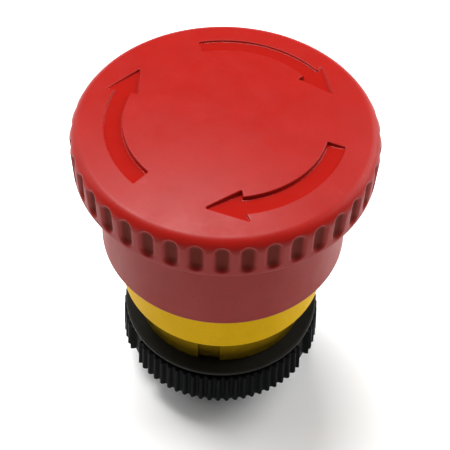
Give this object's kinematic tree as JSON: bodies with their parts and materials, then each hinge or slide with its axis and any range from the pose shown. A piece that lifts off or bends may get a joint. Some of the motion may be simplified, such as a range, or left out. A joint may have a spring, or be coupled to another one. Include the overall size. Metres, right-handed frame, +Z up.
{
  "type": "emergency stop button",
  "caption": "Twist-to-release mushroom emergency stop head with a fluted red cap, yellow collar, threaded barrel and knurled ring nut.",
  "frame": {"origin": "on the plunger's axis, in the plane of the barrel's rear end, where the head stands", "axes": "+Z up the plunger's axis towards the cap, -Y towards the front"},
  "size_m": [0.0398, 0.0398, 0.0507],
  "materials": {
    "red_plastic": "satin moulded red plastic",
    "yellow_plastic": "semi-gloss moulded yellow plastic",
    "black_plastic": "satin moulded black plastic",
    "natural_plastic": "unpigmented sliding plastic",
    "rubber": "matt black seal rubber",
    "steel": "bright spring and screw steel",
    "brass": "turned brass",
    "zinc": "bare zinc casting"
  },
  "bodies": {
    "base": {"housing": "black_plastic", "yellow_collar": "yellow_plastic", "panel_gasket": "rubber", "collar_o_ring": "rubber", "dust_seal": "rubber", "guide_bush": "natural_plastic", "latch_ring": "brass", "latch_snap_ring": "steel", "return_spring": "steel", "seal_boot": "rubber"},
    "plunger": {"stem": "black_plastic", "latch_carrier": "zinc", "carrier_screw": "steel", "pusher_ring": "natural_plastic", "thrust_washer": "brass", "retaining_clip": "steel", "twist_spring": "steel", "latch_spring_right": "steel", "latch_spring_left": "steel"},
    "right_pin": {"latch_pin_right": "steel"},
    "left_pin": {"latch_pin_left": "steel"},
    "head": {"cap": "red_plastic", "skirt": "red_plastic", "cam_hub": "natural_plastic", "cap_screw_1": "steel", "cap_screw_2": "steel", "cap_screw_3": "steel"},
    "washer": {"keyed_washer": "zinc"},
    "nut": {"ring_nut": "black_plastic"}
  },
  "joints": [
    {"name": "push", "type": "slide", "parent": "base", "child": "plunger", "axis": [0, 0, -1], "range_m": [0, 0.0045], "stiffness_N_per_m": 2200, "springref_m": -0.004, "deforming": ["return_spring", "seal_boot"]},
    {"name": "right_pin_slide", "type": "slide", "parent": "plunger", "child": "right_pin", "axis": [1, 0, 0], "range_m": [0, 0.0009]},
    {"name": "left_pin_slide", "type": "slide", "parent": "plunger", "child": "left_pin", "axis": [-1, 0, 0], "range_m": [0, 0.0009]},
    {"name": "twist", "type": "hinge", "parent": "plunger", "child": "head", "pos_m": [0, 0, 0.045], "axis": [0, 0, -1], "range_deg": [0, 45], "stiffness_Nm_per_rad": 0.12, "springref_deg": -17.19},
    {"name": "washer_slide", "type": "slide", "parent": "base", "child": "washer", "axis": [0, 0, -1], "range_m": [0, 0.00475]},
    {"name": "nut_turn", "type": "hinge", "parent": "washer", "child": "nut", "pos_m": [0, 0, 0.009], "axis": [0, 0, -1], "range_deg": [0, 1140]}
  ],
  "couplings": [
    {"joint": "right_pin_slide", "follows": "push", "ratio": 0.2},
    {"joint": "left_pin_slide", "follows": "push", "ratio": 0.2},
    {"joint": "nut_turn", "follows": "washer_slide", "rad_per_m": 4188.8}
  ]
}
